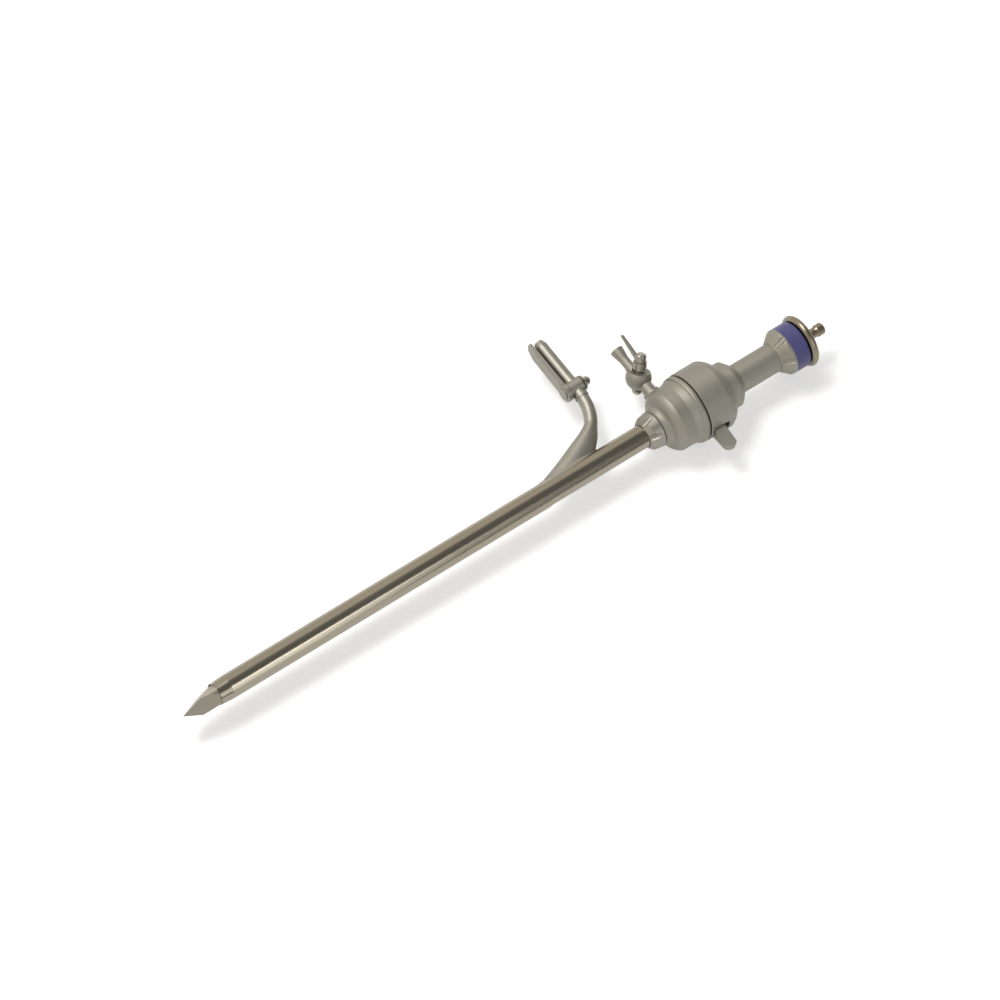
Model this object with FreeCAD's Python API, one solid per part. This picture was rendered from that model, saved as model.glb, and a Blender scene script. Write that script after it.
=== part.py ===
"""Reusable trocar cannula with flap valve, two stopcocks and a three-sided obturator.

Frame: origin on the cannula's axis where the shaft reaches its full diameter, just behind the bevelled mouth.
+X runs along the axis towards the thumb disc, +Y is the side of both stopcocks, +Z is up. Millimetres.
"""
import FreeCAD, Part
import math
import os

V = FreeCAD.Vector
AXIS_X = V(1, 0, 0)
AXIS_Y = V(0, 1, 0)
AXIS_Z = V(0, 0, 1)

# Clearances
running_clearance = 0.06
seat_clearance = 0.02
face_gap = 0.1
soft_gap = 0.3

# Cannula shaft
shaft_radius = 3.6
shaft_seat_radius = 3.42
shaft_wall = 0.4
shaft_length = 145.45
bevel_length = 4.0
mouth_lip = 0.1

# Side arm, a bent tube that leaves the shaft at a slant and ends at right angles to it
arm_set_forward = 6.65
arm_radius = 1.87
arm_bore_radius = 1.2
arm_bend_radius = 14.8
arm_slant = 52.0
arm_end_y = 20.1
arm_sleeve_radius = 2.1
arm_sleeve_length = 1.2
saddle_set_forward = 7.5
saddle_length = 19.8
saddle_land = 0.5
saddle_half_width = 2.4
saddle_levels = 5
saddle_steps = 8

# Front collar and front half of the valve housing
collar_length = 4.5
collar_chamfer = 1.35
collar_front_radius = 5.0
collar_back_radius = 5.35
collar_flutes = 6
collar_flute_radius = 1.0
collar_flute_angle = 15.0
nose_radius = 5.5
nose_waist_length = 1.85
nose_waist_radius = 6.5
shoulder_length = 2.4
shell_front_radius = 9.2
shell_front_length = 3.55
flare_length = 2.1
flare_radius = 9.65
bead_length = 0.9
bead_radius = 10.2
bead_land = 0.75
shell_wall = 1.1
joint_groove = 0.5
spigot_length = 0.6
spigot_wall = 0.85
tube_flange_radius = 5.6
tube_flange_length = 1.2
flange_step = 1.25
o_ring_radius = 0.45

# Rear half of the housing and its nut
shell_rear_radius = 10.35
shell_rear_length = 7.7
rear_shoulder_length = 3.3
rear_shoulder_radius = 7.1
rear_cavity_length = 8.0
nut_radius = 6.9
nut_land = 2.7
nut_taper = 2.4
nut_spigot_length = 1.0

# Neck, fluted cup and silicone cap
neck_radius = 4.28
neck_bore_radius = 3.35
neck_visible_length = 13.0
cup_taper_length = 3.1
cup_radius = 6.87
cup_rim_length = 0.6
cup_wall = 0.9
cup_floor = 1.3
cup_flutes = 6
cup_flute_radius = 1.15
cup_flute_angle = 5.3
cap_thickness = 0.62
cap_length = 4.75
cap_end_thickness = 0.5
washer_thickness = 1.5
retainer_thickness = 1.2
retainer_bore_radius = 3.7

# Obturator
point_length = 11.6
point_set_in = 2.0
apex_offset = 0.6
ridge_run = 6.3
ridge_angle = 10.0
point_spigot_radius = 1.6
point_spigot_length = 5.0
disc_radius = 7.78
disc_thickness = 2.2
disc_socket_depth = 1.2
stub_radius = 1.45
stub_head_radius = 1.75
stub_length = 6.7
stub_head_length = 2.2
stub_spigot_radius = 1.0

# Flap valve
seat_radius = 5.2
seat_bore_radius = 3.45
seat_length = 3.9
seat_stand_out = 2.65
pivot_drop = 2.86
pad_radius = 4.0
pad_thickness = 0.5
flap_radius = 4.4
flap_thickness = 0.7
hub_radius = 1.3
hub_half_length = 1.9
pin_radius = 0.6
pin_head_radius = 1.1
pin_head_length = 0.5
pin_seat_depth = 0.7
lever_thickness = 3.5
lever_reach = 16.5
lever_tip_half_width = 1.1
lever_round = 1.8
lever_back_round = 1.1
slot_front_gap = 0.3
slot_back_gap = 1.8
slot_side_gap = 0.35
spring_wire_radius = 0.18
spring_coil_radius = 1.0
spring_fill = 0.44
spring_pitch = 0.55

# Gas stopcock on the front shell: its plug leans towards the nozzle and is turned up about the stem
gas_set_back = 1.6
gas_stand_off = 6.2
gas_stem_stand_in = 0.2
gas_boss_rim = 0.55
gas_boss_height = 0.5
gas_turn = 67.4
gas_cock = dict(stem_radius=1.88, bore_radius=0.8, lean=28.0, ball=True, barrel_radius=3.65,
                barrel_nut_side=3.1, barrel_lever_side=1.9, nozzle_radius=1.42, nozzle_end=10.1, mouth_radius=1.95,
                mouth_length=3.4, plug_radius=1.4, boss_radius=1.25, boss_length=0.8, hub_radius=1.95, hub_length=1.0,
                blade_thickness=1.1, blade_tip_thickness=0.5, blade_root_width=1.3, blade_tip_width=0.7,
                blade_length=11.7, blade_flare=1.3, blade_bevel=0.6, blade_round=0.28, knob_length=2.4, knob_radius=1.6,
                nut_radius=1.5, nut_waist_radius=1.45, nut_tip_radius=1.35, nut_length=1.5)

# Stopcock on the side arm
side_cock = dict(stem_radius=1.87, bore_radius=0.8, lean=0.0, ball=False, barrel_radius=2.4,
                 barrel_nut_side=2.2, barrel_lever_side=2.35, nozzle_radius=1.84, nozzle_end=16.8, mouth_radius=1.35,
                 mouth_length=1.5, plug_radius=1.4, boss_radius=0.0, boss_length=0.0, hub_radius=2.7, hub_length=0.0,
                 blade_thickness=1.3, blade_tip_thickness=1.2, blade_root_width=3.8, blade_tip_width=3.7,
                 blade_length=17.6, blade_flare=0.0, blade_bevel=3.4, blade_round=0.7, knob_length=0.35,
                 knob_radius=1.7,
                 nut_radius=2.2, nut_waist_radius=1.45, nut_tip_radius=1.2, nut_length=2.45)
cock_washer_thickness = 0.35
cock_washer_rim = 0.15
cock_plug_core_radius = 0.85

# Sizes worked out from the ones above
bore_radius = shaft_radius - shaft_wall
rod_radius = bore_radius - running_clearance
mouth_x = -bevel_length
point_end_x = mouth_x + point_set_in
apex_x = mouth_x - point_length
collar_x = shaft_length
arm_x = collar_x - arm_set_forward
saddle_back_x = arm_x - saddle_set_forward
saddle_front_x = saddle_back_x - saddle_length
saddle_hole_x = arm_x - arm_bend_radius
shaft_plain_end_x = saddle_front_x - saddle_land
nose_x = collar_x + collar_length
waist_x = nose_x + nose_waist_length
shoulder_x = waist_x + shoulder_length
flare_x = shoulder_x + shell_front_length
bead_x = flare_x + flare_length
bead_top_x = bead_x + bead_length
front_end_x = bead_top_x + bead_land
rear_x = front_end_x + joint_groove
rear_shoulder_x = rear_x + shell_rear_length
nut_x = rear_shoulder_x + rear_shoulder_length
nut_taper_x = nut_x + nut_land
neck_x = nut_taper_x + nut_taper
cup_x = neck_x + neck_visible_length
cup_rim_x = cup_x + cup_taper_length
cap_x = cup_rim_x + cup_rim_length
cap_end_x = cap_x + cap_length
disc_x = cap_end_x + soft_gap
disc_end_x = disc_x + disc_thickness
rod_end_x = disc_x + disc_socket_depth
front_cavity_radius = shell_front_radius - shell_wall
rear_cavity_radius = shell_rear_radius - shell_wall
rear_cavity_end_x = rear_x + rear_cavity_length
gas_x = shoulder_x + gas_set_back
gas_plug_y = shell_front_radius + gas_stand_off
gas_stem_end_y = front_cavity_radius - gas_stem_stand_in
side_plug_y = arm_end_y + side_cock["barrel_radius"] + face_gap
front_cavity_x = waist_x + shoulder_length - shell_wall + 2 * seat_clearance
flange_x = nose_x + flange_step + 2 * o_ring_radius + seat_clearance
flange_end_x = flange_x + tube_flange_length
seat_x = rear_cavity_end_x - seat_stand_out
seat_end_x = seat_x + seat_length
pad_face_y = -(rod_radius + face_gap)
pivot_y = -(rod_radius + pivot_drop)
pad_depth = pad_face_y - pivot_y
pivot_x = seat_x - pad_depth - face_gap
pin_reach = math.sqrt(rear_cavity_radius ** 2 - pivot_y ** 2)
spring_turns = int(spring_fill * (pin_reach - hub_half_length) / spring_pitch)
cup_inner_radius = cup_radius - cap_thickness - seat_clearance - cup_wall
cup_floor_x = cup_rim_x + cup_floor
arm_centre = V(saddle_hole_x, arm_end_y, 0)


def turned(points):
    """Solid of revolution about the axis; a point is (x, radius), and (x, radius, x, radius) is an arc's middle and end."""
    edges = []
    here = V(points[0][0], points[0][1], 0)
    for point in points[1:] + points[:1]:
        end = V(point[-2], point[-1], 0)
        if len(point) == 4:
            edges.append(Part.Arc(here, V(point[0], point[1], 0), end).toShape())
        elif (end - here).Length > 1e-9:
            edges.append(Part.makeLine(here, end))
        here = end
    face = Part.Face(Part.Wire(edges))
    return face.revolve(V(0, 0, 0), AXIS_X, 360)


def round_bar(start, direction, length, radius):
    """Cylinder from a point along a direction."""
    return Part.makeCylinder(radius, length, start, direction)


def ring(start_x, end_x, outer, inner):
    """Plain ring about the axis."""
    return turned([(start_x, inner), (start_x, outer), (end_x, outer), (end_x, inner)])


def eight_corners(radius):
    """Corners of an eight-sided section about a centre."""
    angles = [math.pi / 4 * (index + 0.5) for index in range(8)]
    return [(radius * math.cos(angle), radius * math.sin(angle)) for angle in angles]


def o_ring(centre_x, radius, section):
    """O-ring about the axis, with an eight-sided section."""
    return turned([(centre_x + along, radius + out) for along, out in eight_corners(section)])


def around_axis(angle, radius, x):
    """Point at an angle measured from +Z towards +Y."""
    turn = math.radians(angle)
    return V(x, radius * math.sin(turn), radius * math.cos(turn))


def flutes(count, first_angle, radius, front_x, front_radius, back_x, back_radius):
    """Round-bottomed grip flutes that follow a taper, as cutting bars."""
    bars = []
    for index in range(count):
        angle = first_angle + 360.0 / count * index
        start = around_axis(angle, front_radius, front_x)
        run = around_axis(angle, back_radius, back_x) - start
        bars.append(round_bar(start, run, run.Length, radius))
    return bars


def prism(points, low_z, high_z):
    """Flat plate with an outline in XY between two heights; arcs as in turned()."""
    edges = []
    here = V(points[0][0], points[0][1], low_z)
    for point in points[1:] + points[:1]:
        end = V(point[-2], point[-1], low_z)
        if len(point) == 4:
            edges.append(Part.Arc(here, V(point[0], point[1], low_z), end).toShape())
        elif (end - here).Length > 1e-9:
            edges.append(Part.makeLine(here, end))
        here = end
    return Part.Face(Part.Wire(edges)).extrude(V(0, 0, high_z - low_z))


def arm_point(angle):
    """Point of the side arm's centre line where it runs at an angle to the axis."""
    turn = math.radians(angle)
    return arm_centre + V(math.sin(turn), -math.cos(turn), 0) * arm_bend_radius


def arm_sweep(radius):
    """Bent bar along the side arm, from the saddle's top up to right angles at the stopcock."""
    turn = math.radians(arm_slant)
    along = V(math.cos(turn), math.sin(turn), 0)
    face = Part.Face(Part.Wire(Part.makeCircle(radius, arm_point(arm_slant), along)))
    return face.revolve(arm_centre, AXIS_Z, 90.0 - arm_slant)


def arm_channel():
    """Straight hole from the saddle's top down into the cannula's bore."""
    foot = V(saddle_hole_x, bore_radius / 2, 0)
    run = arm_point(arm_slant) - foot
    past_top = run.Length + arm_bore_radius
    return round_bar(foot, run, past_top, arm_bore_radius)


def cannula_tube():
    """Thin tube with a bevelled mouth, turned down a little where saddle, collar and housing sit on it."""
    outer = [(mouth_x, bore_radius), (mouth_x, bore_radius + mouth_lip), (0, shaft_radius),
             (shaft_plain_end_x, shaft_radius), (shaft_plain_end_x, shaft_seat_radius),
             (flange_end_x, shaft_seat_radius), (flange_end_x, bore_radius)]
    return turned(outer).cut(arm_channel())


def saddle_oval(share, side):
    """Half oval of the saddle at a share of its way up, on the +Z or -Z side."""
    top = arm_point(arm_slant)
    root = V((saddle_front_x + saddle_back_x) / 2, shaft_radius - shaft_wall, 0)
    turn = math.radians(arm_slant - 7.0)
    knee = top - V(math.cos(turn), math.sin(turn), 0) * (top.y - root.y) * 0.47
    centre = root * (1 - share) ** 2 + knee * (2 * share * (1 - share)) + top * share ** 2
    half_root = (saddle_back_x - saddle_front_x) / 2
    half_length = arm_radius + (half_root - arm_radius) * (1 - share) ** 1.8
    half_width = arm_radius + (saddle_half_width - arm_radius) * (1 - share)
    tip = math.radians((90.0 - arm_slant) * share ** 1.5)
    along = V(math.cos(tip), -math.sin(tip), 0) * half_length
    across = AXIS_Z * side * half_width
    angles = [math.pi * index / saddle_steps for index in range(saddle_steps + 1)]
    return [centre + along * math.cos(angle) + across * math.sin(angle) for angle in angles]


def side_arm_saddle():
    """Flared root of the side arm: ovals that shrink and tip up into the round section of the arm."""
    skins = []
    for side in (1, -1):
        surface = Part.BSplineSurface()
        surface.interpolate([saddle_oval(level / saddle_levels, side) for level in range(saddle_levels + 1)])
        skins.append(surface)
    low = Part.Wire([skin.uIso(skin.bounds()[0]).toShape() for skin in skins])
    high = Part.Wire([skin.uIso(skin.bounds()[1]).toShape() for skin in skins])
    shell = Part.makeShell([skin.toShape() for skin in skins] + [Part.Face(low), Part.Face(high)])
    shell.sewShape()
    seat = round_bar(V(0, 0, 0), AXIS_X, shaft_length, shaft_seat_radius)
    return Part.Solid(shell).cut(seat).cut(arm_channel())


def side_arm_tube():
    return arm_sweep(arm_radius).cut(arm_sweep(arm_bore_radius))


def side_arm_sleeve():
    """Short brazed sleeve that joins the arm tube to its stopcock and follows the last of the bend."""
    turn = math.degrees(arm_sleeve_length / arm_bend_radius)
    inner = arm_radius + seat_clearance
    end = V(arm_x, arm_end_y, 0)
    outside = Part.Face(Part.Wire(Part.makeCircle(arm_sleeve_radius, end, AXIS_Y)))
    inside = Part.Face(Part.Wire(Part.makeCircle(inner, end, AXIS_Y)))
    return outside.revolve(arm_centre, AXIS_Z, -turn).cut(inside.revolve(arm_centre, AXIS_Z, -turn))


def front_collar():
    hole = shaft_seat_radius + seat_clearance
    body = turned([(collar_x, hole), (collar_x, hole + 0.35), (collar_x + collar_chamfer, collar_front_radius),
                   (nose_x - 0.4, collar_back_radius), (nose_x, collar_back_radius - 0.4), (nose_x, hole)])
    cuts = flutes(collar_flutes, collar_flute_angle, collar_flute_radius,
                  collar_x, shaft_radius + 0.9, collar_x + collar_length * 0.7, collar_back_radius + 0.9)
    for bar in cuts:
        body = body.cut(bar)
    return body


def tube_flange():
    return ring(flange_x, flange_end_x, tube_flange_radius, shaft_seat_radius + seat_clearance)


def tube_o_ring():
    return o_ring(flange_x - o_ring_radius, shaft_seat_radius + seat_clearance + o_ring_radius, o_ring_radius)


def front_shell():
    hole = shaft_seat_radius + seat_clearance
    counterbore = tube_flange_radius + seat_clearance
    step_x = nose_x + flange_step
    spigot_radius = rear_cavity_radius - seat_clearance
    spigot_end_x = rear_x + spigot_length
    body = turned([
        (nose_x, hole), (nose_x, nose_radius - 0.3), (nose_x + 0.3, nose_radius),
        (nose_x + nose_waist_length * 0.6, nose_radius + 0.25, waist_x, nose_waist_radius),
        (shoulder_x - shoulder_length * 0.45, shell_front_radius - 0.65, shoulder_x, shell_front_radius),
        (flare_x, shell_front_radius), (bead_x, flare_radius),
        (bead_x + bead_length * 0.35, bead_radius - 0.15), (bead_top_x, bead_radius),
        (front_end_x - 0.15, bead_radius), (front_end_x, bead_radius - 0.15), (front_end_x, spigot_radius),
        (spigot_end_x, spigot_radius), (spigot_end_x, spigot_radius - spigot_wall),
        (front_end_x, front_cavity_radius), (front_cavity_x, front_cavity_radius),
        (front_cavity_x, counterbore), (step_x, counterbore), (step_x, hole)])
    boss_radius = gas_cock["stem_radius"] + gas_boss_rim
    boss_top = shell_front_radius + gas_boss_height
    boss = round_bar(V(gas_x, front_cavity_radius, 0), AXIS_Y, boss_top - front_cavity_radius, boss_radius)
    hole_radius = gas_cock["stem_radius"] + seat_clearance
    stem_hole = round_bar(V(gas_x, front_cavity_radius / 2, 0), AXIS_Y, boss_top, hole_radius)
    return body.fuse(boss).cut(stem_hole).removeSplitter()


def housing_o_ring():
    inner = rear_cavity_radius - seat_clearance
    section = joint_groove / 2 - seat_clearance
    return o_ring(front_end_x + joint_groove / 2, inner + section, section)


def rear_shell():
    bore = seat_radius + seat_clearance
    body = turned([
        (rear_x, rear_cavity_radius), (rear_x, shell_rear_radius - 0.2), (rear_x + 0.2, shell_rear_radius),
        (rear_shoulder_x, shell_rear_radius),
        (rear_shoulder_x + rear_shoulder_length * 0.52, shell_rear_radius - 1.0, nut_x, rear_shoulder_radius),
        (nut_x, bore), (rear_cavity_end_x, bore), (rear_cavity_end_x, rear_cavity_radius)])
    half_slot = hub_half_length + slot_side_gap
    slot_front = pivot_x - lever_thickness / 2 - slot_front_gap
    slot_back = pivot_x + lever_thickness / 2 + slot_back_gap
    slot = Part.makeBox(slot_back - slot_front, shell_rear_radius, 2 * half_slot,
                        V(slot_front, pivot_y - shell_rear_radius, -half_slot))
    slot = slot.makeFillet(half_slot * 0.45, [e for e in slot.Edges if abs(e.tangentAt(e.FirstParameter).y) > 0.9])
    seat_far = round_bar(V(pivot_x, pivot_y, 0), -AXIS_Z, shell_rear_radius, pin_radius + seat_clearance)
    seat_near = round_bar(V(pivot_x, pivot_y, 0), AXIS_Z, pin_reach + pin_seat_depth, pin_radius + seat_clearance)
    head = round_bar(V(pivot_x, pivot_y, -pin_reach - pin_seat_depth), -AXIS_Z, shell_rear_radius,
                     pin_head_radius + seat_clearance)
    return body.cut(slot).cut(seat_far).cut(seat_near).cut(head)


def flap_pin():
    """Hinge pin with a slotted head that sits in the far wall of the rear shell."""
    start = V(pivot_x, pivot_y, -pin_reach - pin_seat_depth)
    pin = round_bar(start, AXIS_Z, 2 * (pin_reach + pin_seat_depth) - seat_clearance, pin_radius)
    head = round_bar(start, -AXIS_Z, pin_head_length, pin_head_radius)
    slot = Part.makeBox(4 * pin_head_radius, 0.3, 0.25,
                        start + V(-2 * pin_head_radius, -0.15, -pin_head_length))
    return pin.fuse(head).cut(slot)


def flap_spring():
    """Torsion spring on the pin beside the hub."""
    first_z = hub_half_length + face_gap + spring_wire_radius
    height = spring_turns * spring_pitch
    helix = Part.makeHelix(spring_pitch, height, spring_coil_radius)
    corners = [V(spring_coil_radius + out, 0, up) for out, up in eight_corners(spring_wire_radius)]
    section = Part.makePolygon(corners + corners[:1])
    coil = Part.Wire(helix.Edges).makePipeShell([section], True, True)
    coil.translate(V(pivot_x, pivot_y, first_z))
    return coil


def flap_web():
    """Web between the round plate and the hinge hub."""
    root_x = pivot_x + pivot_y + flap_radius * 0.4
    plate_top = pad_face_y - pad_thickness
    return prism([(root_x, plate_top), (pivot_x, pivot_y + hub_radius),
                  (pivot_x - hub_radius * 0.8, pivot_y - hub_radius * 0.6), (root_x, plate_top - flap_thickness)],
                 -hub_half_length, hub_half_length)


def valve_flap():
    """Round plate held open beside the rod, with a web to its hub on the hinge pin."""
    centre = V(pivot_x + pivot_y, pad_face_y - pad_thickness - flap_thickness, 0)
    plate = round_bar(centre, AXIS_Y, flap_thickness, flap_radius)
    hub = round_bar(V(pivot_x, pivot_y, -hub_half_length), AXIS_Z, 2 * hub_half_length, hub_radius)
    body = plate.fuse(hub).fuse(flap_web())
    hole = round_bar(V(pivot_x, pivot_y, -shell_rear_radius), AXIS_Z, 2 * shell_rear_radius,
                     pin_radius + running_clearance)
    return body.cut(hole).removeSplitter()


def flap_pad():
    centre = V(pivot_x + pivot_y, pad_face_y - pad_thickness, 0)
    return round_bar(centre, AXIS_Y, pad_thickness, pad_radius)


def finger_lever():
    """Lever through the slot: root below the hub, rounded front corner and sides that taper to the tip."""
    front = pivot_x - lever_thickness / 2
    back = pivot_x + lever_thickness / 2
    root_y = pivot_y - hub_radius * 0.2
    corner = lever_round * (1 - math.sqrt(0.5))
    back_corner = lever_back_round * (1 - math.sqrt(0.5))
    plate = prism([(front, root_y), (front, lever_round - lever_reach),
                   (front + corner, corner - lever_reach, front + lever_round, -lever_reach),
                   (back - lever_back_round, -lever_reach),
                   (back - back_corner, back_corner - lever_reach, back, lever_back_round - lever_reach),
                   (back, root_y)],
                  -hub_half_length, hub_half_length)
    taper = Part.Face(Part.makePolygon([
        V(front, root_y, -hub_half_length), V(front, root_y, hub_half_length),
        V(front, -shell_rear_radius, hub_half_length), V(front, -lever_reach, lever_tip_half_width),
        V(front, -lever_reach, -lever_tip_half_width), V(front, -shell_rear_radius, -hub_half_length),
        V(front, root_y, -hub_half_length)])).extrude(V(lever_thickness, 0, 0))
    hub_room = round_bar(V(pivot_x, pivot_y, -hub_half_length), AXIS_Z, 2 * hub_half_length, hub_radius)
    return plate.common(taper).cut(hub_room).cut(flap_web())


def valve_seat():
    return turned([(seat_x, seat_bore_radius), (seat_x, seat_radius - 0.5), (seat_x + 0.5, seat_radius),
                   (seat_end_x, seat_radius), (seat_end_x, seat_bore_radius)])


def rear_nut():
    hole = neck_radius + seat_clearance
    spigot = seat_radius - seat_clearance
    return turned([(nut_x - nut_spigot_length, hole), (nut_x - nut_spigot_length, spigot), (nut_x, spigot),
                   (nut_x, nut_radius), (nut_taper_x, nut_radius),
                   (nut_taper_x + nut_taper * 0.45, nut_radius - 1.0, neck_x - 0.1, neck_radius + 0.25),
                   (neck_x, neck_radius + 0.12), (neck_x, hole)])


def neck_tube():
    foot_x = seat_end_x + seat_clearance
    return turned([(foot_x, neck_bore_radius), (foot_x, seat_radius - seat_clearance),
                   (nut_x - nut_spigot_length, seat_radius - seat_clearance),
                   (nut_x - nut_spigot_length, neck_radius), (cup_floor_x, neck_radius),
                   (cup_floor_x, neck_bore_radius)])


def seal_cup():
    """Cup at the end of the neck: fluted taper, bare rim and a reduced land that carries the cap."""
    hole = neck_radius + seat_clearance
    land = cup_radius - cap_thickness - seat_clearance
    rim_x = cap_x - seat_clearance
    body = turned([(cup_x, hole), (cup_x, hole + 0.15), (cup_rim_x - 0.5, cup_radius - 0.28),
                   (cup_rim_x - 0.18, cup_radius - 0.05, cup_rim_x, cup_radius), (rim_x, cup_radius), (rim_x, land),
                   (cap_end_x - cap_end_thickness - seat_clearance, land),
                   (cap_end_x - cap_end_thickness - seat_clearance, cup_inner_radius),
                   (cup_floor_x, cup_inner_radius), (cup_floor_x, hole)])
    cuts = flutes(cup_flutes, cup_flute_angle, cup_flute_radius,
                  cup_x, neck_radius + 1.25, cup_rim_x - 0.15, cup_radius + 0.75)
    for bar in cuts:
        body = body.cut(bar)
    return body


def sealing_washer():
    start = cup_floor_x + seat_clearance
    return ring(start, start + washer_thickness, cup_inner_radius - seat_clearance, rod_radius + running_clearance)


def seal_retainer():
    start = cup_floor_x + washer_thickness + 2 * seat_clearance
    return ring(start, start + retainer_thickness, cup_inner_radius - seat_clearance, retainer_bore_radius)


def seal_cap():
    """Silicone cap over the cup: sleeve, end wall and a hole for the rod."""
    inner = cup_radius - cap_thickness
    wall_x = cap_end_x - cap_end_thickness
    hole = rod_radius + running_clearance
    return turned([(cap_x, inner), (cap_x, cup_radius), (cap_end_x - 0.3, cup_radius), (cap_end_x, cup_radius - 0.3),
                   (cap_end_x, hole), (wall_x, hole), (wall_x, inner)])


def obturator_point():
    """Three flat facets ground by hand on a round bar, a little off its axis, with a spigot into the rod."""
    length = point_end_x - apex_x
    tan_ridge = rod_radius / ridge_run
    corners = []
    for index in range(3):
        corners.append(around_axis(ridge_angle + 120.0 * index, length * tan_ridge, point_end_x))
    apex = around_axis(ridge_angle + 240.0, apex_offset, apex_x)
    faces = [Part.Face(Part.makePolygon(corners + corners[:1]))]
    for index in range(3):
        side = [apex, corners[index], corners[(index + 1) % 3], apex]
        faces.append(Part.Face(Part.makePolygon(side)))
    pyramid = Part.Solid(Part.Shell(faces))
    bar = round_bar(V(apex_x, 0, 0), AXIS_X, length, rod_radius)
    spigot = round_bar(V(point_end_x, 0, 0), AXIS_X, point_spigot_length, point_spigot_radius)
    return bar.common(pyramid).fuse(spigot)


def obturator_rod():
    rod = round_bar(V(point_end_x, 0, 0), AXIS_X, rod_end_x - point_end_x, rod_radius)
    socket = round_bar(V(point_end_x, 0, 0), AXIS_X, point_spigot_length + seat_clearance,
                       point_spigot_radius + seat_clearance)
    return rod.cut(socket)


def obturator_disc():
    """Thumb disc with a full round rim, a socket for the rod and a hole for the stub."""
    half = disc_thickness / 2
    flat = disc_radius - half
    socket = rod_radius + seat_clearance
    hole = stub_spigot_radius + seat_clearance
    return turned([(disc_x, socket), (disc_x, flat), (disc_x + half, disc_radius, disc_end_x, flat),
                   (disc_end_x, hole), (rod_end_x, hole), (rod_end_x, socket)])


def obturator_stub():
    """Small stub behind the disc, slightly thicker at its bevelled end, with a spigot through the disc."""
    end_x = disc_end_x + stub_length
    head_x = end_x - stub_head_length
    return turned([(rod_end_x, 0), (rod_end_x, stub_spigot_radius), (disc_end_x, stub_spigot_radius),
                   (disc_end_x, stub_radius + 0.3), (disc_end_x + 0.5, stub_radius),
                   (head_x - 0.6, stub_radius), (head_x, stub_head_radius), (end_x - 0.4, stub_head_radius),
                   (end_x, stub_head_radius - 0.4), (end_x, 0)])


def leaned(shape, size):
    """Leans a piece built along the plug axis (x) towards the nozzle (y)."""
    shape.rotate(V(0, 0, 0), AXIS_Z, size["lean"])
    return shape


def placed(shape, centre, turn_y):
    """Puts a stopcock piece from its own frame (y flow) on its centre, turned about the flow."""
    copy = shape.copy()
    copy.Placement = FreeCAD.Placement(centre, FreeCAD.Rotation(AXIS_Y, turn_y)).multiply(shape.Placement)
    return copy


def flow_bar(start, length, radius):
    """Round bar along the flow, from a place measured from the plug's centre."""
    return round_bar(V(0, start, 0), AXIS_Y, length, radius)


def cock_barrel(size):
    """Housing of the plug: a round bar across the flow, or a ball with a flat for the lever and one for the nut."""
    length = size["barrel_nut_side"] + size["barrel_lever_side"]
    bar = round_bar(V(-size["barrel_nut_side"], 0, 0), AXIS_X, length, size["barrel_radius"])
    if size["ball"]:
        return bar.common(Part.makeSphere(size["barrel_radius"]))
    return bar.makeChamfer(0.2, [bar.Edges[0], bar.Edges[2]])


def cock_room(size):
    """Room for the plug and, beyond both flats, for the hub and the washer."""
    reach = 2 * size["barrel_radius"]
    right = V(size["barrel_lever_side"], 0, 0)
    left = V(-size["barrel_nut_side"], 0, 0)
    plug = round_bar(left, AXIS_X, reach, size["plug_radius"] + running_clearance)
    hub = round_bar(right, AXIS_X, reach, size["hub_radius"] + face_gap)
    washer = round_bar(left, -AXIS_X, reach, size["nut_radius"] + cock_washer_rim + face_gap)
    return plug.fuse([hub, washer])


def cock_body(size, stem_length):
    """Stem, cross barrel and nozzle with the flow bore and the plug's bore."""
    barrel = leaned(cock_barrel(size), size)
    stem = flow_bar(-stem_length, stem_length, size["stem_radius"])
    foot_length = size["barrel_radius"] + 0.9
    foot_radius = (size["nozzle_radius"] + size["barrel_nut_side"]) / 2
    foot = Part.makeCone(foot_radius, size["nozzle_radius"], foot_length, V(0, 0, 0), AXIS_Y)
    straight = size["nozzle_end"] - size["mouth_length"]
    nozzle = flow_bar(0, straight, size["nozzle_radius"])
    mouth = Part.makeCone(size["nozzle_radius"], size["mouth_radius"], size["mouth_length"], V(0, straight, 0), AXIS_Y)
    body = barrel.fuse([stem, foot, nozzle, mouth]).removeSplitter()
    return body.cut(cock_flow(size, stem_length)).cut(leaned(cock_room(size), size))


def cock_flow(size, stem_length):
    """The straight flow passage from the stem's foot to the mouth."""
    return flow_bar(-stem_length, stem_length + size["nozzle_end"], size["bore_radius"])


def cock_plug(size):
    """Drilled plug: a round core in the barrel and a thinner shank on each side."""
    left = size["barrel_nut_side"] + face_gap
    right = size["barrel_lever_side"] + face_gap
    core = round_bar(V(-left, 0, 0), AXIS_X, left + right, size["plug_radius"])
    shank_left = cock_washer_thickness + size["nut_length"] * 0.6
    shank_right = size["boss_length"] + size["hub_length"] + size["blade_thickness"]
    shank = round_bar(V(-left - shank_left, 0, 0), AXIS_X, shank_left + left + right + shank_right,
                      cock_plug_core_radius)
    return leaned(core.fuse(shank), size).cut(cock_flow(size, size["barrel_radius"] * 2)).removeSplitter()


def cock_washer(size):
    end = -size["barrel_nut_side"] - face_gap
    disc = round_bar(V(end - cock_washer_thickness, 0, 0), AXIS_X, cock_washer_thickness,
                     size["nut_radius"] + cock_washer_rim)
    hole = round_bar(V(end - cock_washer_thickness, 0, 0), AXIS_X, cock_washer_thickness,
                     cock_plug_core_radius + seat_clearance)
    return leaned(disc.cut(hole), size)


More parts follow.
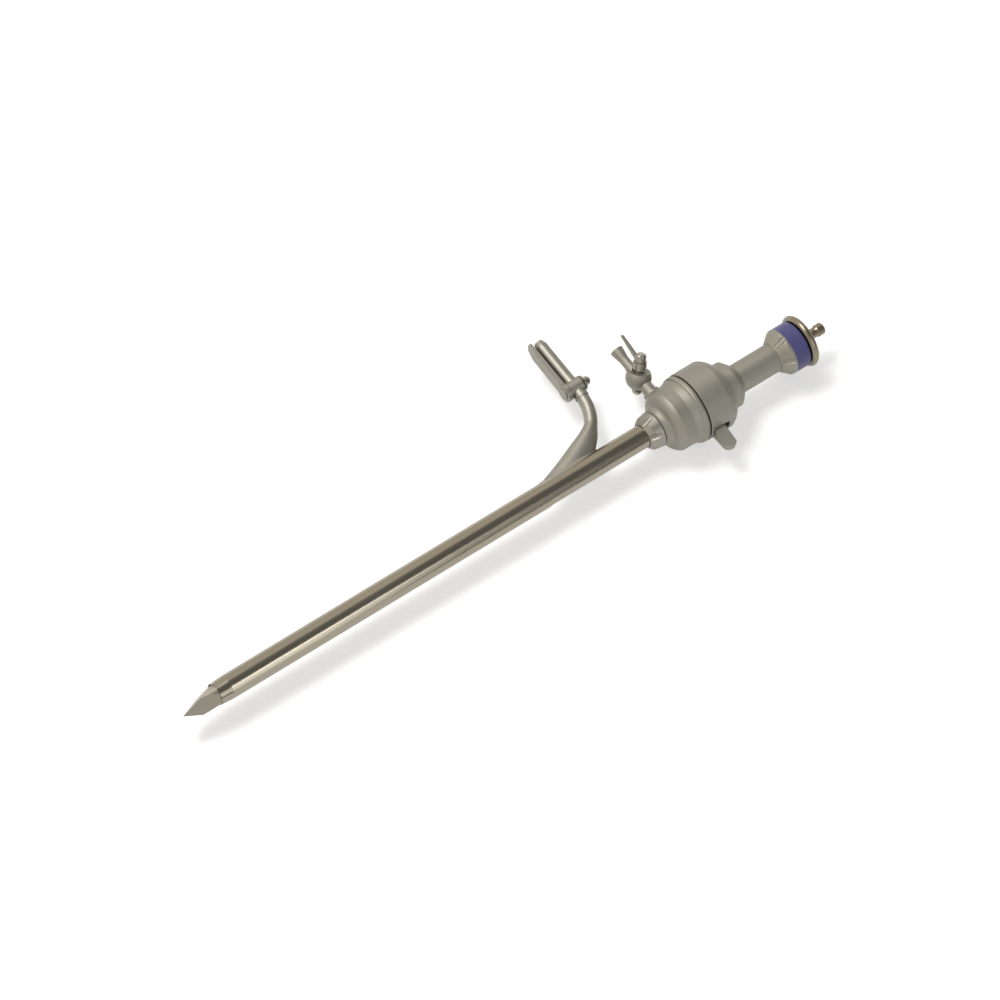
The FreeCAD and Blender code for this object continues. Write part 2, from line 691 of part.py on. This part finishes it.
def cock_nut(size):
    """Stepped cap nut with a bevelled end."""
    start = size["barrel_nut_side"] + face_gap + cock_washer_thickness
    end = start + size["nut_length"]
    tip = size["nut_tip_radius"]
    edge = tip * 0.45
    hole = cock_plug_core_radius + seat_clearance
    depth = start + size["nut_length"] * 0.6 + seat_clearance
    waist = start + size["nut_length"] * 0.4
    nut = turned([(start, hole), (start, size["nut_radius"]), (start + 0.35, size["nut_radius"]),
                  (waist, size["nut_waist_radius"]), (end - edge, tip), (end, tip - edge),
                  (end, 0), (depth, 0), (depth, hole)])
    nut.rotate(V(0, 0, 0), AXIS_Y, 180)
    return leaned(nut, size)


def lever_blade(size, base):
    """Blade parallel to the nozzle: it narrows and thins towards its tip and ends in a bevel on its outer face."""
    outer = base.x + size["blade_thickness"]
    tip_y = size["blade_length"]
    half_root = size["blade_root_width"] / 2
    half_tip = size["blade_tip_width"] / 2
    bevel_y = tip_y - size["blade_bevel"]
    round_y = tip_y - size["blade_round"]
    tip_outer = base.x + (size["blade_thickness"] + size["blade_tip_thickness"]) / 2 + size["blade_flare"]
    tip_inner = tip_outer - size["blade_tip_thickness"]
    side_view = Part.Face(Part.makePolygon([
        V(base.x, base.y, 0), V(outer, base.y, 0), V(tip_outer, bevel_y, 0),
        V(tip_inner + size["blade_tip_thickness"] * 0.3, tip_y, 0), V(tip_inner, tip_y, 0), V(base.x, base.y, 0)]))
    slab = side_view.extrude(V(0, 0, 4 * half_root))
    slab.translate(V(0, 0, -2 * half_root))
    left = base.x - size["blade_thickness"]
    edges = [Part.makeLine(V(left, base.y, -half_root), V(left, round_y, -half_tip)),
             Part.Arc(V(left, round_y, -half_tip), V(left, tip_y, 0), V(left, round_y, half_tip)).toShape(),
             Part.makeLine(V(left, round_y, half_tip), V(left, base.y, half_root)),
             Part.makeLine(V(left, base.y, half_root), V(left, base.y, -half_root))]
    front_view = Part.Face(Part.Wire(edges)).extrude(V(4 * size["blade_thickness"], 0, 0))
    return slab.common(front_view)


def cock_lever(size):
    """Lever on the plug: a boss and hub, the blade along the nozzle and a round knob on top."""
    inner = size["barrel_lever_side"] + face_gap
    hub_start = inner + size["boss_length"]
    top = hub_start + size["hub_length"] + size["blade_thickness"]
    hub = round_bar(V(hub_start, 0, 0), AXIS_X, top - hub_start, size["hub_radius"])
    if size["boss_length"]:
        hub = hub.fuse(round_bar(V(inner, 0, 0), AXIS_X, size["boss_length"], size["boss_radius"]))
    knob = round_bar(V(top, 0, 0), AXIS_X, size["knob_length"], size["knob_radius"])
    knob = knob.makeFillet(min(size["knob_length"], size["knob_radius"]) * 0.45, [knob.Edges[0]])
    hole = round_bar(V(inner, 0, 0), AXIS_X, top - inner, cock_plug_core_radius + seat_clearance)
    turn = math.radians(size["lean"])
    reach = hub_start + size["hub_length"]
    base = V(reach * math.cos(turn), reach * math.sin(turn), 0)
    body = leaned(hub, size).fuse(lever_blade(size, base)).cut(leaned(hole, size))
    return body.fuse(leaned(knob, size)).removeSplitter()


def stopcock(name, size, centre, stem_end_y, turn_y):
    """The five pieces of a stopcock, named and put in place."""
    stem_length = centre.y - stem_end_y
    pieces = {
        name + "_body": cock_body(size, stem_length),
        name + "_plug": cock_plug(size),
        name + "_lever": cock_lever(size),
        name + "_washer": cock_washer(size),
        name + "_nut": cock_nut(size),
    }
    return {key: placed(shape, centre, turn_y) for key, shape in pieces.items()}


def build():
    pieces = {
        "cannula_tube": cannula_tube(),
        "side_arm_saddle": side_arm_saddle(),
        "side_arm_tube": side_arm_tube(),
        "side_arm_sleeve": side_arm_sleeve(),
        "front_collar": front_collar(),
        "tube_flange": tube_flange(),
        "tube_o_ring": tube_o_ring(),
        "front_shell": front_shell(),
        "housing_o_ring": housing_o_ring(),
        "rear_shell": rear_shell(),
        "flap_pin": flap_pin(),
        "flap_spring": flap_spring(),
        "valve_flap": valve_flap(),
        "flap_pad": flap_pad(),
        "finger_lever": finger_lever(),
        "valve_seat": valve_seat(),
        "rear_nut": rear_nut(),
        "neck_tube": neck_tube(),
        "seal_cup": seal_cup(),
        "sealing_washer": sealing_washer(),
        "seal_retainer": seal_retainer(),
        "seal_cap": seal_cap(),
        "obturator_point": obturator_point(),
        "obturator_rod": obturator_rod(),
        "obturator_disc": obturator_disc(),
        "obturator_stub": obturator_stub(),
    }
    pieces.update(stopcock("gas_cock", gas_cock, V(gas_x, gas_plug_y, 0), gas_stem_end_y, -gas_turn))
    pieces.update(stopcock("side_cock", side_cock, V(arm_x, side_plug_y, 0), arm_end_y, 180.0))
    return pieces


def export(pieces):
    os.makedirs("parts", exist_ok=True)
    for name, shape in pieces.items():
        solids = shape.Solids
        whole = solids[0] if len(solids) == 1 else Part.makeCompound(solids)
        whole.exportStep("parts/" + name + ".step")
        box = whole.BoundBox
        print("%-18s solids %d valid %s volume %.2f  x %.2f..%.2f  y %.2f..%.2f  z %.2f..%.2f" % (
            name, len(solids), whole.isValid(), whole.Volume,
            box.XMin, box.XMax, box.YMin, box.YMax, box.ZMin, box.ZMax))


export(build())
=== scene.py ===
"""Looks of a reusable trocar cannula: metals, silicone, fine details, floor, lamps and camera."""

import math

import bpy
from mathutils import Matrix, Vector


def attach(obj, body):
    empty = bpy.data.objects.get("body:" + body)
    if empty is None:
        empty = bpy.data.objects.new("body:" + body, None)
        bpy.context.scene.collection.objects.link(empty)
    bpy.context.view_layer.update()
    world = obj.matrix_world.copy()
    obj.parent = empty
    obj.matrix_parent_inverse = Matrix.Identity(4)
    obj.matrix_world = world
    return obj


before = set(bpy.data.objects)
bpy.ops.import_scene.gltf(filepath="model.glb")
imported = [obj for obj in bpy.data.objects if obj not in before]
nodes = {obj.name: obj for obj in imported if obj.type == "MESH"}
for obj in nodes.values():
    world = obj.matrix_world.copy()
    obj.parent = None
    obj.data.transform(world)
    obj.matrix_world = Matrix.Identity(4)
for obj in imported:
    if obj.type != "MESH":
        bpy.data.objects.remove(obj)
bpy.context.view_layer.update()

MM = 0.001

# The view of the photograph, in its 1000 by 1000 pixels
PICTURE_SIZE = 1000
MM_PER_PIXEL = 0.2759
ORIGIN_PIXEL = (227.5, 687.1)
SHAFT_ALONG = (0.85586, -0.51721)
NOSE_TILT = math.radians(23.0)
ARM_ROLL = math.radians(20.0)
CAMERA_DISTANCE = 12.0
MIDDLE_DEPTH = 0.039
SENSOR_WIDTH = 36.0

# Heights, places and distances, in metres
FLOOR_HEIGHT = -0.0105
FLOOR_REACH = 3.0
STRIPE_START = -0.02
STRIPE_END = 0.055
STRIPE_DISTANCE = 0.45

# The oval foot of the side arm on the shaft, in millimetres
FOOT_CENTRE_X = 121.4
FOOT_HALF_LENGTH = 9.9
FOOT_HALF_WIDTH = 2.4
FOOT_HEIGHT = 3.2
SHAFT_SEAT_RADIUS = 3.42
SEAM_STEPS = 96

# The braze's rings from the inside out: growth, height, and whether that is from the shaft or the foot
SEAM_PROFILE = [(-0.35, -0.1, True), (-0.12, 0.3, False), (0.02, 0.06, False),
                (0.13, 0.3, True), (0.3, 0.1, True), (0.52, -0.02, True)]

# Angles round the shaft, from the side that faces the camera towards the stopcocks
STRIPE_ANGLE = math.radians(-20.0)
SHEEN_ANGLE = math.radians(-50.0)
SHADE_ANGLE = math.radians(-20.0)
SHADE_REACH = math.radians(59.0)
SHADE_SOFTNESS = math.radians(9.0)

# Levels of light, where 1 is white
AMBIENT = 0.55
FLOOR_GLOW = 0.42
SHADE_DEPTH = 0.74

# How far the key and fill lamps stand off the line to the camera, up or down and sideways
KEY_RISE = 0.9
KEY_LEFT = 0.4
FILL_DROP = 0.5
FILL_RIGHT = 0.9

# Strength of the darkest marks in a finish, against its clean colour
POLISH_DARKEST = 0.86
SATIN_DARKEST = 0.82
SILICONE_DARKEST = 0.8

# Depth of the fine relief of the finishes, in metres
TURNING_DEPTH = 0.00001
GRAIN_DEPTH = 0.00002
SKIN_DEPTH = 0.00003

# Dust on silicone: the noise level where it starts, how fast it fills in, and how much it covers
DUST_LEVEL = 0.68
DUST_EDGE = 12.0
DUST_COVER = 0.35

# Colours of light: the room is a little warm where it is bright and cool where it is dark
WHITE = (1.0, 1.0, 1.0)
BLACK = (0.0, 0.0, 0.0)
PAPER_GREY = (0.8, 0.8, 0.8)
GLOW = (FLOOR_GLOW, FLOOR_GLOW, FLOOR_GLOW)
WARM = (1.0, 0.955, 0.875)
COOL = (0.98, 1.0, 0.99)


class Value:
    """A node socket that takes part in arithmetic: each operator adds one Math node."""

    def __init__(self, tree, socket):
        self.tree = tree
        self.socket = socket

    def math(self, operation, *others, clamp=False):
        node = self.tree.nodes.new("ShaderNodeMath")
        node.operation = operation
        node.use_clamp = clamp
        for index, term in enumerate((self,) + others):
            plug_in(self.tree, node.inputs[index], term)
        return Value(self.tree, node.outputs[0])

    def swapped(self, operation, first):
        node = self.tree.nodes.new("ShaderNodeMath")
        node.operation = operation
        plug_in(self.tree, node.inputs[0], first)
        plug_in(self.tree, node.inputs[1], self)
        return Value(self.tree, node.outputs[0])

    def __add__(self, other):
        return self.math("ADD", other)

    def __radd__(self, other):
        return self.math("ADD", other)

    def __sub__(self, other):
        return self.math("SUBTRACT", other)

    def __rsub__(self, other):
        return self.swapped("SUBTRACT", other)

    def __mul__(self, other):
        return self.math("MULTIPLY", other)

    def __rmul__(self, other):
        return self.math("MULTIPLY", other)

    def __truediv__(self, other):
        return self.math("DIVIDE", other)

    def __rtruediv__(self, other):
        return self.swapped("DIVIDE", other)

    def clamped(self):
        return self.math("ADD", 0.0, clamp=True)


def plug_in(tree, socket, term):
    """Links a value, or writes a number or colour, into a socket."""
    if isinstance(term, Value):
        tree.links.new(term.socket, socket)
    elif isinstance(term, (tuple, list)) and len(term) == 3 and len(socket.default_value) == 4:
        socket.default_value = (*term, 1.0)
    else:
        socket.default_value = term


class Shading:
    """A node tree whose nodes all come from one method."""

    def __init__(self, tree):
        self.tree = tree

    def node(self, kind, settings=None, output=0, **sockets):
        """Adds a node: its settings first, then its sockets, and gives one of its outputs."""
        node = self.tree.nodes.new(kind)
        for key, setting in (settings or {}).items():
            setattr(node, key, setting)
        for key, term in sockets.items():
            plug_in(self.tree, socket_named(node, key), term)
        return Value(self.tree, node.outputs[output])

    def blend(self, share, low, high):
        """A colour between two colours."""
        sockets = {"0": share, "6": low, "7": high}
        return self.node("ShaderNodeMix", {"data_type": "RGBA"}, output=2, **sockets)

    def background_ray(self):
        """1 for camera, mirror and see-through rays, and 1 for camera rays alone."""
        camera = self.node("ShaderNodeLightPath", output="Is Camera Ray")
        paths = camera.socket.node.outputs
        glossy = Value(self.tree, paths["Is Glossy Ray"])
        through = Value(self.tree, paths["Is Transmission Ray"])
        return (camera + glossy + through).clamped(), camera


class Finish(Shading):
    """A material around one Principled shader."""

    def __init__(self, name, **constants):
        self.material = bpy.data.materials.new(name)
        self.material.use_nodes = True
        super().__init__(self.material.node_tree)
        self.shader = self.tree.nodes["Principled BSDF"]
        self.set(**constants)

    def set(self, **sockets):
        for key, term in sockets.items():
            plug_in(self.tree, self.shader.inputs[key.replace("_", " ")], term)

    def place(self):
        """Place on the part in metres, the same at any pose."""
        return self.node("ShaderNodeTexCoord", output="Object")

    def stretched(self, scale):
        """The place with each axis scaled, for streaks along one direction."""
        return self.node("ShaderNodeMapping", Vector=self.place(), Scale=scale)

    def noise(self, scale, detail=3.0, roughness=0.5, stretch=(1.0, 1.0, 1.0)):
        """Smooth noise, scale in features per metre along an unstretched axis."""
        return self.node("ShaderNodeTexNoise", output="Fac", Vector=self.stretched(stretch),
                         Scale=scale, Detail=detail, Roughness=roughness)

    def bump(self, height, distance, strength=1.0):
        """Feeds the shader's normal from a height in metres."""
        self.set(Normal=self.node("ShaderNodeBump", Height=height, Distance=distance, Strength=strength))


def socket_named(node, key):
    """A socket by its name, with underscores for spaces, or by its number."""
    if key.isdigit():
        return node.inputs[int(key)]
    return node.inputs[key.replace("_", " ")]


def darkened(colour, strength):
    return tuple(part * strength for part in colour)


def polished_steel(name, colour, roughness):
    """Polished stainless steel: fine turning marks, faint smudges and hairline scratches."""
    steel = Finish(name, Metallic=1.0)
    smudge = steel.noise(90.0, detail=4.0, stretch=(0.35, 1.0, 1.0))
    streak = steel.noise(700.0, detail=2.0, stretch=(0.05, 1.0, 1.0))
    turning = steel.noise(9000.0, detail=2.0, stretch=(1.0, 0.02, 0.02))
    tone = (smudge * 0.6 + streak * 0.4).clamped()
    steel.set(Base_Color=steel.blend(tone, darkened(colour, POLISH_DARKEST), colour))
    steel.set(Roughness=(smudge * 0.10 + streak * 0.05 + roughness - 0.07).clamped())
    steel.bump(turning * 0.4 + streak * 0.6, distance=TURNING_DEPTH, strength=0.35)
    return steel.material


def satin_steel(name, colour, roughness):
    """Satin stainless steel: matt-blasted grain, turning lines and handling marks."""
    steel = Finish(name, Metallic=1.0)
    grain = steel.noise(14000.0, detail=2.0)
    turning = steel.noise(6000.0, detail=3.0, stretch=(1.0, 0.03, 0.03))
    cloud = steel.noise(160.0, detail=5.0, roughness=0.6)
    tone = (cloud * 0.7 + turning * 0.3).clamped()
    steel.set(Base_Color=steel.blend(tone, darkened(colour, SATIN_DARKEST), colour))
    steel.set(Roughness=(cloud * 0.14 + turning * 0.06 + roughness - 0.1).clamped())
    steel.bump(grain * 0.5 + turning * 0.5, distance=GRAIN_DEPTH, strength=0.4)
    return steel.material


def silicone(name, colour, roughness):
    """Silicone rubber: soft sheen, faint mottling and fine dust."""
    rubber = Finish(name, IOR=1.41, Subsurface_Weight=0.08, Subsurface_Scale=0.001)
    cloud = rubber.noise(260.0, detail=4.0)
    dust = rubber.noise(5200.0, detail=1.0)
    speck = ((dust - DUST_LEVEL) * DUST_EDGE).clamped()
    dusty = tuple(part * 0.75 + 0.2 for part in colour)
    tone = rubber.blend(cloud, darkened(colour, SILICONE_DARKEST), colour)
    rubber.set(Base_Color=rubber.blend(speck * DUST_COVER, tone, dusty))
    rubber.set(Roughness=(cloud * 0.2 + roughness - 0.1).clamped())
    rubber.bump(rubber.noise(3000.0, detail=3.0), distance=SKIN_DEPTH, strength=0.4)
    return rubber.material


def shaft_sides():
    """Square to the shaft: the way to the camera's side, and the way to the stopcocks' side."""
    outward = Vector((0.0, -math.sin(ARM_ROLL), math.cos(ARM_ROLL)))
    across = Vector((0.0, math.cos(ARM_ROLL), math.sin(ARM_ROLL)))
    return outward, across


def camera_axes():
    """The picture's right and up, and the direction to the camera, in the part's frame."""
    outward, across = shaft_sides()
    along = Vector((math.cos(NOSE_TILT), 0.0, 0.0)) + outward * math.sin(NOSE_TILT)
    to_camera = outward * math.cos(NOSE_TILT) - Vector((math.sin(NOSE_TILT), 0.0, 0.0))
    right = along * SHAFT_ALONG[0] + across * SHAFT_ALONG[1]
    up = across * SHAFT_ALONG[0] - along * SHAFT_ALONG[1]
    return right, up, to_camera


def mirror_way(angle):
    """Direction in which the shaft, at an angle round it, mirrors the camera's view."""
    outward, across = shaft_sides()
    around = outward * math.cos(angle) + across * math.sin(angle)
    return Vector((math.sin(NOSE_TILT), 0.0, 0.0)) + around * math.cos(NOSE_TILT)


def add_camera():
    """A long lens far away, so that the view is nearly parallel; gives the point that it aims at."""
    right, up, to_camera = camera_axes()
    half = PICTURE_SIZE / 2
    aim = right * (half - ORIGIN_PIXEL[0]) - up * (half - ORIGIN_PIXEL[1])
    aim = aim * MM_PER_PIXEL * MM - to_camera * MIDDLE_DEPTH
    data = bpy.data.cameras.new("view")
    data.sensor_width = SENSOR_WIDTH
    data.lens = SENSOR_WIDTH * CAMERA_DISTANCE / (PICTURE_SIZE * MM_PER_PIXEL * MM)
    data.clip_end = CAMERA_DISTANCE * 2
    camera = bpy.data.objects.new("view", data)
    axes = Matrix((right, up, to_camera)).transposed()
    camera.matrix_world = Matrix.Translation(aim + to_camera * CAMERA_DISTANCE) @ axes.to_4x4()
    bpy.context.scene.collection.objects.link(camera)
    bpy.context.scene.camera = camera
    return aim


def add_lamp(name, target, direction, distance, size, power):
    """A rectangular soft lamp that faces a target."""
    data = bpy.data.lights.new(name, "AREA")
    data.shape = "RECTANGLE"
    data.size, data.size_y = size
    data.energy = power
    lamp = bpy.data.objects.new(name, data)
    toward = Vector(direction).normalized()
    lamp.location = target + toward * distance
    lamp.rotation_euler = toward.to_track_quat("Z", "Y").to_euler()
    bpy.context.scene.collection.objects.link(lamp)
    return lamp


def add_floor():
    """Plain pale floor that stays white to the camera and keeps a soft shadow."""
    mesh = bpy.data.meshes.new("floor")
    corners = [(-1, -1), (1, -1), (1, 1), (-1, 1)]
    points = [(x * FLOOR_REACH, y * FLOOR_REACH, FLOOR_HEIGHT) for x, y in corners]
    mesh.from_pydata(points, [], [(0, 1, 2, 3)])
    floor = bpy.data.objects.new("floor", mesh)
    bpy.context.scene.collection.objects.link(floor)
    paper = Finish("floor_paper", Roughness=0.9, Base_Color=PAPER_GREY, Emission_Strength=1.0)
    seen, _ = paper.background_ray()
    paper.set(Emission_Color=paper.blend(seen, BLACK, GLOW))
    mesh.materials.append(paper.material)


def set_world():
    """White background, and one darker patch above the shaft that lights it less, as in a real room."""
    world = bpy.data.worlds.new("studio")
    world.use_nodes = True
    bpy.context.scene.world = world
    room = Shading(world.node_tree)
    direction = room.node("ShaderNodeTexCoord", output="Generated")
    patch_way = tuple(mirror_way(SHADE_ANGLE))
    facing = room.node("ShaderNodeVectorMath", {"operation": "DOT_PRODUCT"}, output="Value",
                       **{"0": direction, "1": patch_way})
    edge = math.cos(SHADE_REACH + SHADE_SOFTNESS)
    shade = ((facing - edge) / (math.cos(SHADE_REACH - SHADE_SOFTNESS) - edge)).clamped()
    seen, camera = room.background_ray()
    level = AMBIENT + seen * (1.0 - AMBIENT)
    level = level * (1.0 - shade * (1.0 - camera) * SHADE_DEPTH)
    background = world.node_tree.nodes["Background"]
    tint = room.blend(shade, WARM, COOL)
    plug_in(room.tree, background.inputs["Color"], room.blend(camera, tint, WHITE))
    plug_in(room.tree, background.inputs["Strength"], level)


def seam_ring(grow, height, on_shaft):
    """Closed ring round the foot, grown outwards, at a height over the shaft or over the foot."""
    ring = []
    for step in range(SEAM_STEPS):
        turn = 2 * math.pi * step / SEAM_STEPS
        x = FOOT_CENTRE_X + (FOOT_HALF_LENGTH + grow) * math.cos(turn)
        z = (FOOT_HALF_WIDTH + grow) * math.sin(turn)
        surface = math.sqrt(SHAFT_SEAT_RADIUS ** 2 - z ** 2)
        y = surface + height if on_shaft else max(FOOT_HEIGHT, surface) + height
        ring.append(Vector((x, y, z)) * MM)
    return ring


def add_braze_seam(material):
    """Smooth fillet of braze between the side arm's foot and the shaft."""
    rings = [seam_ring(*place) for place in SEAM_PROFILE]
    mesh = bpy.data.meshes.new("braze_seam")
    faces = []
    for level in range(len(rings)):
        low = level * SEAM_STEPS
        high = (level + 1) % len(rings) * SEAM_STEPS
        for step in range(SEAM_STEPS):
            after = (step + 1) % SEAM_STEPS
            faces.append((low + step, low + after, high + after, high + step))
    mesh.from_pydata([point for ring in rings for point in ring], [], faces)
    mesh.shade_smooth()
    mesh.materials.append(material)
    seam = bpy.data.objects.new("braze_seam", mesh)
    bpy.context.scene.collection.objects.link(seam)
    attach(seam, "cannula")


def dress(material, *names):
    """Gives a finish to CAD nodes, by name."""
    for name in names:
        for slot in nodes[name].material_slots:
            slot.material = material


def dress_nodes():
    """Gives every CAD node its finish."""
    tube = polished_steel("tube_polish", (0.315, 0.283, 0.222), 0.2)
    bright = polished_steel("bright_polish", (0.36, 0.345, 0.3), 0.22)
    ground = polished_steel("point_grind", (0.36, 0.33, 0.27), 0.42)
    disc = polished_steel("disc_polish", (0.27, 0.23, 0.17), 0.32)
    satin = satin_steel("housing_satin", (0.335, 0.32, 0.275), 0.6)
    block = satin_steel("block_satin", (0.34, 0.325, 0.28), 0.5)
    collar = satin_steel("collar_satin", (0.335, 0.32, 0.275), 0.5)
    cup = satin_steel("cup_satin", (0.325, 0.31, 0.262), 0.55)
    blue = silicone("blue_silicone", (0.085, 0.08, 0.22), 0.42)
    milky = silicone("milky_silicone", (0.62, 0.6, 0.55), 0.45)
    dark = silicone("dark_elastomer", (0.075, 0.07, 0.058), 0.4)
    dress(tube, "cannula_tube", "obturator_rod")
    dress(ground, "obturator_point")
    dress(bright, "flap_pin", "flap_spring", "valve_flap", "valve_seat", "seal_retainer",
          "gas_cock_plug", "gas_cock_lever", "gas_cock_washer", "gas_cock_nut",
          "side_cock_plug", "side_cock_washer", "side_cock_nut")
    dress(disc, "obturator_disc", "obturator_stub")
    dress(satin, "front_shell", "rear_shell", "rear_nut", "neck_tube", "tube_flange",
          "gas_cock_body", "finger_lever")
    dress(block, "side_arm_saddle", "side_arm_tube", "side_arm_sleeve",
          "side_cock_body", "side_cock_lever")
    add_braze_seam(block)
    dress(collar, "front_collar")
    dress(cup, "seal_cup")
    dress(blue, "seal_cap")
    dress(milky, "sealing_washer", "flap_pad")
    dress(dark, "tube_o_ring", "housing_o_ring")


def add_stripe(name, angle, width, power):
    """A long lamp whose mirror image is a stripe on the front of the shaft."""
    middle = Vector(((STRIPE_START + STRIPE_END) / 2, 0.0, 0.0))
    toward = mirror_way(angle).normalized()
    long_side = (STRIPE_END - STRIPE_START) * math.cos(NOSE_TILT)
    stripe = add_lamp(name, middle, toward, STRIPE_DISTANCE, (long_side, width), power)
    along = Vector((1.0, 0.0, 0.0)) - toward * toward.x
    along.normalize()
    axes = Matrix((along, toward.cross(along), toward)).transposed()
    stripe.matrix_world = Matrix.Translation(middle + toward * STRIPE_DISTANCE) @ axes.to_4x4()


def add_lamps(aim):
    """A soft key and fill, and two narrow lamps mirrored in the front of the shaft."""
    right, up, to_camera = camera_axes()
    key_way = to_camera + up * KEY_RISE - right * KEY_LEFT
    fill_way = to_camera - up * FILL_DROP + right * FILL_RIGHT
    add_lamp("key", aim, key_way, distance=0.9, size=(0.4, 0.3), power=5.2)
    add_lamp("fill", aim, fill_way, distance=1.0, size=(0.6, 0.6), power=1.6)
    add_stripe("stripe", STRIPE_ANGLE, width=0.1, power=0.1)
    add_stripe("sheen", SHEEN_ANGLE, width=0.34, power=0.11)


dress_nodes()
set_world()
add_floor()
add_lamps(add_camera())
bpy.context.scene.view_settings.view_transform = "Standard"
